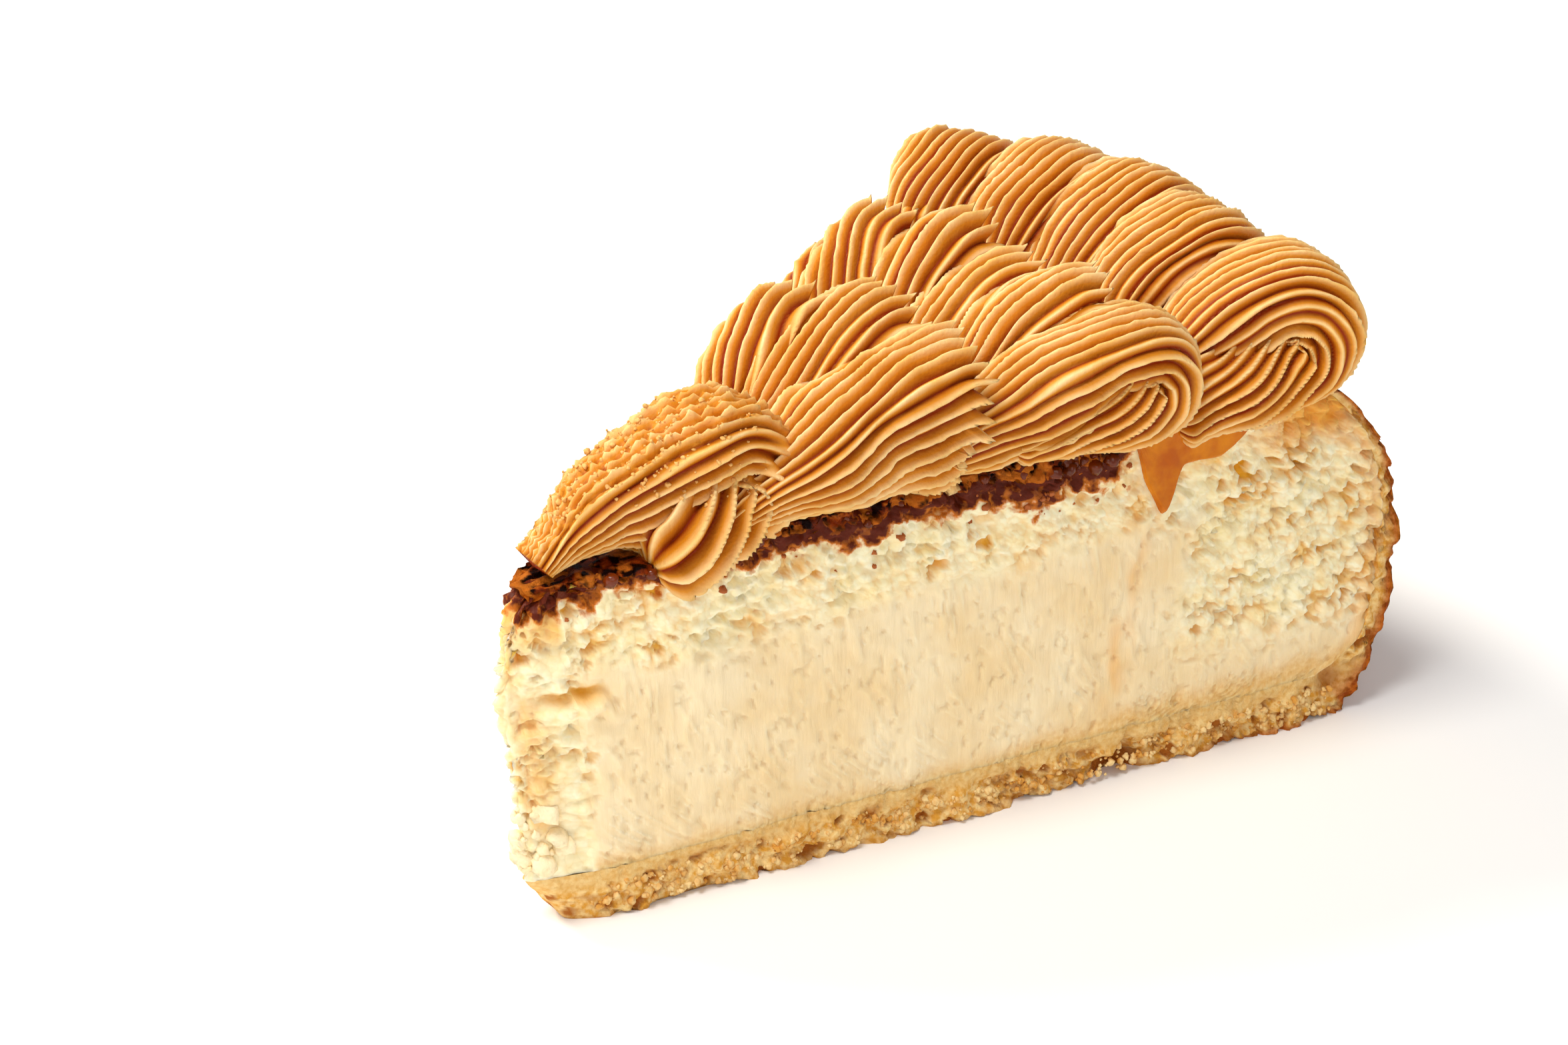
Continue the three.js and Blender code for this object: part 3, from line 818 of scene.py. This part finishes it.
# %% Caramel sauce
syrup = new_material("caramel_sauce")
thickness = remap(syrup, grain(syrup, 3.5), 0.35, 0.65)
finish_surface(
    syrup,
    blend_colours(syrup, thickness, "#bc5c00", "#da8408"),
    0.16,
    bump(syrup, grain(syrup, 2.5), 0.15, 0.4),
    {
        "Subsurface Weight": 0.15,
        "Subsurface Radius": (1.0, 0.6, 0.2),
        "Subsurface Scale": 0.001,
        "Specular IOR Level": 0.16,
    },
)
pool_mesh = hanging_skin((90, 8, 60), (80.5, 103), pool_depth, 0.8, 0.12, 3, (-1,), 0.16)
add_piece("caramel_pool", pool_mesh, syrup)

# %% [markdown]
# ## Shortcrust
# Under the filling lies a sandy pastry. The strip that touches the filling soaked it up and is
# dense and pale; the rest is crumbs of butter and flour, with painted shade in the hollows between
# them and where bits broke away, and the outside is brown from the tin. Its section runs along the
# base and then up the wall.


# %% Section and relief of the crust
BASE_SHARE = 34 / 44


def crust_section(along, across):
    if along <= BASE_SHARE + 1e-6:
        run = along / BASE_SHARE
        outer = (mix(tip_radius(0, across), rim_radius(0), run), 0.0)
        inside = mix(tip_radius(BASE_THICKNESS, across), wall_inside(BASE_THICKNESS), run)
        return outer, (inside, BASE_THICKNESS)
    climb = (along - BASE_SHARE) / (1 - BASE_SHARE)
    outer_z, inner_z = WALL_HEIGHT * climb, mix(BASE_THICKNESS, WALL_HEIGHT, climb)
    return (rim_radius(outer_z), outer_z), (wall_inside(inner_z), inner_z)


def crust_relief(radius, z, side):
    crumb, crack = cells(radius, z, 30 * side, 2.1, 5.1)
    small, _ = cells(radius, z, 30 * side, 1.0, 6.2)
    hollow = crack * smooth(wave(radius, z, 8 * side, 3.5, 2), 0.0, 0.35)
    hollow = max(0.6 * hollow, smooth(wave(radius, z, 8 * side, 2.0, 6), 0.25, 0.45))
    rough = 0.6 * (crumb - 0.6) + 0.35 * (small - 0.6) + 0.9 * wave(radius, z, side, 4.5, 1)
    return rough + 0.5 * wave(radius, z, side, 1.8, 7) - 0.8 * hollow, hollow


print("the wall is", round(rim_radius(WALL_HEIGHT) - wall_inside(WALL_HEIGHT), 1), "mm thick at its top")

# %% Shape the crust
crust_mesh = divided_box(400, 18, 22)
paste_layer = crust_mesh.verts.layers.float.new("paste")
bake_layer = crust_mesh.verts.layers.float.new("bake")
hollow_shade_layer = crust_mesh.verts.layers.float.new("hollow")
for vertex in crust_mesh.verts:
    along, over, up = vertex.co + Vector((0.5, 0.5, 0.5))
    across = 2 * over - 1
    side = math.copysign(1, across)
    outer, inner = crust_section(along, across)
    radius, z = mix(outer[0], inner[0], up), mix(outer[1], inner[1], up)
    wall = smooth(radius, 108, 114) * smooth(z, 4, 9)
    soaked = BASE_THICKNESS - 1.4 + 0.8 * wave(radius, 0, side, 4, 9)
    paste = smooth(z, soaked - 1.2, soaked + 0.6) * (1 - wall)
    rough, hollow = crust_relief(radius, z, side)
    hollow *= 1 - paste
    outwards = 0.0
    if abs(across) > 0.999:
        missing = 3 * hill(radius, 82, 3.5) * (1 - smooth(z, 1.5, 3.6)) if side < 0 else 0
        missing += 1.5 * hill(radius, 112, 2.5) * hill(z, 5, 3)
        outwards = mix(rough, filling_relief(radius, BASE_THICKNESS, side)[0], paste) - missing
        hollow = max(hollow, smooth(missing, 0.5, 2))
    edge = smooth(abs(across), 0.9, 1)
    if up < 0.001 and z < 0.01:
        z += edge * max(0, 1.1 * wave(radius, side, 0, 4, 3) + 0.7 * wave(radius, side, 0, 1.6, 3))
    elif up < 0.001:
        radius += 0.6 * wave(radius, across * 20, z, 2.4, 3) - 0.2 * edge - 0.1
    if along < 0.001:
        radius -= 0.7 * wave(across * 3, z, 0, 2, 3)
    vertex[paste_layer] = paste
    baked = 1 - smooth(up, 0.1, 0.75) if along > BASE_SHARE else 0
    foot = 1 - smooth(z, 0.1, 0.9 + 0.8 * wave(radius, side, 0, 3))
    vertex[bake_layer] = max(baked, mix(0.3, 0.9, smooth(radius, 80, 108)) * foot)
    vertex[hollow_shade_layer] = hollow
    vertex.co = to_frame(place(radius, across, z, outwards))

# %% Shortcrust finish
pastry = new_material("baked_shortcrust")
sand = grain(pastry, 0.9, 6)
crumb = blend_colours(pastry, remap(pastry, sand, 0.38, 0.62), "#da9c3c", "#f4d290")
sandy = blend_colours(pastry, remap(pastry, grain(pastry, 0.7), 0.35, 0.65), "#dcac62", "#ebc888")
soaked = blend_colours(pastry, attribute(pastry, "paste"), crumb, sandy)
# Painted shade: darker in the hollows between crumbs and where bits broke away.
shaded = blend_colours(pastry, attribute(pastry, "hollow"), soaked, "#a8601c")
tinned = blend_colours(pastry, remap(pastry, sand, 0.35, 0.65), "#8a3604", "#c4691a")
finish_surface(
    pastry,
    blend_colours(pastry, attribute(pastry, "bake"), shaded, tinned),
    0.7,
    bump(pastry, sand, 0.5, 0.9),
    {
        "Subsurface Weight": 0.12,
        "Subsurface Radius": (1.0, 0.6, 0.3),
        "Subsurface Scale": 0.0012,
        "Specular IOR Level": 0.12,
    },
)
add_piece("shortcrust", crust_mesh, pastry, ["crust"])

# %% [markdown]
# ## Crumbs and drops
# What came loose when the slice was cut: pastry crumbs on the base, toasted specks that the knife
# carried down, curds at the foot of the nose, drops of syrup on the dark edge, and biscuit dust on
# the swag at the tip. Each is a small sphere made uneven by noise, and each kind is one mesh. The
# sphere is made once and its mesh is joined again for every lump, which is quicker than a sphere
# operator for each. Points stay in the order of joining, so a point's number gives its lump.


# %% Lumps
def add_lumps(name, finish, lumps, roughness=0.8):
    ball = bmesh.new()
    bmesh.ops.create_icosphere(ball, subdivisions=2, radius=1)
    ball_data, corners = bpy.data.meshes.new("ball"), len(ball.verts)
    ball.to_mesh(ball_data)
    ball.free()
    mesh = bmesh.new()
    for _ in lumps:
        mesh.from_mesh(ball_data)
    bpy.data.meshes.remove(ball_data)
    for number, vertex in enumerate(mesh.verts):
        centre, size, seed = lumps[number // corners]
        uneven = 1 + roughness * noise.noise(vertex.co * 1.2 + Vector((seed, 0.7 * seed, 0)))
        vertex.co = to_frame(centre + vertex.co * (uneven * size))
    return add_piece(name, mesh, finish)


# %% Lumps on a cut
def scatter_on_cut(name, finish, count, sizes, seed, spot_of, proud, relief, roughness=0.8):
    pick = random.Random(seed)
    lumps = []
    for i in range(count):
        side = -1 if pick.random() < 0.6 else 1
        radius, z = spot_of(pick, side)
        size = mix(*sizes, pick.random() ** 2)
        outwards = relief(radius, z, side)[0] + proud * size
        lumps.append((place(radius, side, z, outwards), size, seed + 0.37 * i))
    return add_lumps(name, finish, lumps, roughness)


def on_base(pick, side):
    radius = pick.uniform(14, 112)
    return radius, pick.uniform(0.7, 4.4)


def under_edge(pick, side):
    radius = pick.choice((pick.uniform(12, 84), pick.gauss(74, 5), pick.gauss(45, 7)))
    radius = min(86, max(12, radius))
    return radius, top_height(radius) - skin_depth(radius, side) - 4 * pick.random() ** 3


def on_edge(pick, side):
    radius = min(82, max(11, pick.choice((pick.uniform(11, 82), pick.gauss(74, 4)))))
    return radius, top_height(radius) - pick.uniform(0.15, 0.6) * skin_depth(radius, side)


print("a crumb may lie at radius and height", [round(v, 1) for v in on_base(random.Random(1), -1)])

# %% [markdown]
# The finishes of the loose pieces differ only in numbers: two tones of a grain, how rough they are
# and how much they shine. Burnt syrup is nearly black and wet, crumb is dry and curd is dull.


# %% Finishes of crumbs and drops
def speckled(name, first, second, size_mm, roughness, relief, gloss, contrast=(0.0, 1.0)):
    material = new_material(name)
    share = remap(material, grain(material, size_mm), *contrast)
    colour = blend_colours(material, share, first, second)
    relief_size, relief_depth = relief
    height = bump(material, grain(material, relief_size), relief_depth)
    finish_surface(material, colour, roughness, height, {"Specular IOR Level": gloss})
    return material


wet = speckled("burnt_syrup", "#2c0802", "#84340a", 1.5, 0.06, (0.8, 0.1), 0.3)
dark = speckled("toasted_speck", "#8e3e10", "#c8702a", 1.2, 0.6, (0.5, 0.15), 0.4)
loose = speckled("shortcrust_crumb", "#dc9e48", "#f4d496", 2.2, 0.7, (0.5, 0.2), 0.12, (0.4, 0.6))
crumbled = speckled("biscuit_dust", "#dc9c44", "#f2c67e", 1.5, 0.6, (0.5, 0.2), 0.3)
loose_curd = speckled("loose_curd", "#f8dda6", "#fef2d4", 1.5, 0.5, (0.8, 0.3), 0.12)

# %% Scatter crumbs, specks, drops and curds
scatter_on_cut("pastry_crumbs", loose, 900, (0.14, 0.5), 3, on_base, 0.0, crust_relief)
scatter_on_cut("toasted_specks", dark, 80, (0.12, 0.5), 5, under_edge, 0.0, filling_relief)
scatter_on_cut("syrup_drops", wet, 90, (0.25, 1.0), 7, on_edge, 0.3, filling_relief, 0.5)
pick = random.Random(9)
curds = []
for i in range(46):
    across, z = pick.uniform(-0.95, 0.6), pick.triangular(7.5, 17, 10)
    size = mix(0.4, 1.4, pick.random() ** 2)
    centre = place(tip_radius(z, across) + 0.3 * size, across, z)
    curds.append((centre, size, 0.53 * i))
add_lumps("curd_crumbs", loose_curd, curds)

# %% [markdown]
# Biscuit dust was strewn on the swag at the tip from above and behind. The swag's own points and
# normals, kept when it was piped, say where it lands: on what faces that way, near the tip and
# above a height, at points drawn by chance.

# %% Biscuit dust on the tip
pick = random.Random(21)
dusted_side = Vector((-0.45, 0.6, 0.65)).normalized()
DUST_REACH, DUST_FLOOR = -0.028, 0.049
dusted = [
    (spot, normal) for spot, normal in tip_spots
    if normal.dot(dusted_side) > 0.25 + 0.5 * pick.random()
    and spot.x < DUST_REACH and spot.z > DUST_FLOOR
]
dust = []
for i, (spot, normal) in enumerate(pick.sample(dusted, min(700, len(dusted)))):
    size = mix(0.12, 0.34, pick.random() ** 3)
    centre = spot * 1000 + Vector((ORIGIN_RADIUS, 0, 0)) + normal * 0.1 * size
    dust.append((centre, size, 0.61 * i))
add_lumps("biscuit_dust", crumbled, dust)

# %% [markdown]
# ## Studio
# The photograph was taken on a white sweep in a lot of soft light: a bright sky all round, a warm
# soft box behind the slice on the left that edges the ridges, and a broad white one in front.

# %% Floor, sky and soft boxes
floor_mesh = bmesh.new()
bmesh.ops.create_grid(floor_mesh, x_segments=1, y_segments=1, size=3)
floor_data = bpy.data.meshes.new("sweep")
floor_mesh.to_mesh(floor_data)
floor_mesh.free()
paper = new_material("white_paper")
finish_surface(
    paper, linear("#fbfbfb"), 0.7, bump(paper, grain(paper, 2.0), 0.02, 0.1), {"Specular IOR Level": 0.1}
)
floor_data.materials.append(paper)
floor = bpy.data.objects.new("sweep", floor_data)
bpy.context.scene.collection.objects.link(floor)

world = bpy.data.worlds.new("studio")
world.use_nodes = True
world.node_tree.nodes["Background"].inputs["Color"].default_value = (1, 0.98, 0.95, 1)
world.node_tree.nodes["Background"].inputs["Strength"].default_value = 0.4
bpy.context.scene.world = world
bpy.context.scene.view_settings.view_transform = "Standard"


def soft_box(name, azimuth, elevation, distance, size, power, colour):
    light = bpy.data.lights.new(name, "AREA")
    light.shape, light.size = "DISK", size
    light.energy, light.color = power, colour
    lamp = bpy.data.objects.new(name, light)
    lamp.matrix_world = orbit(Vector((0, 0, 0.03)), azimuth, elevation, 0, distance)
    bpy.context.scene.collection.objects.link(lamp)


soft_box("overhead", -85, 64, 0.9, 0.4, 5.5, (1, 0.99, 0.97))
soft_box("back_left", -155, 42, 0.9, 0.3, 6.0, (1, 0.94, 0.82))
soft_box("front", -38, 25, 1.1, 0.7, 2.3, (1, 0.98, 0.95))
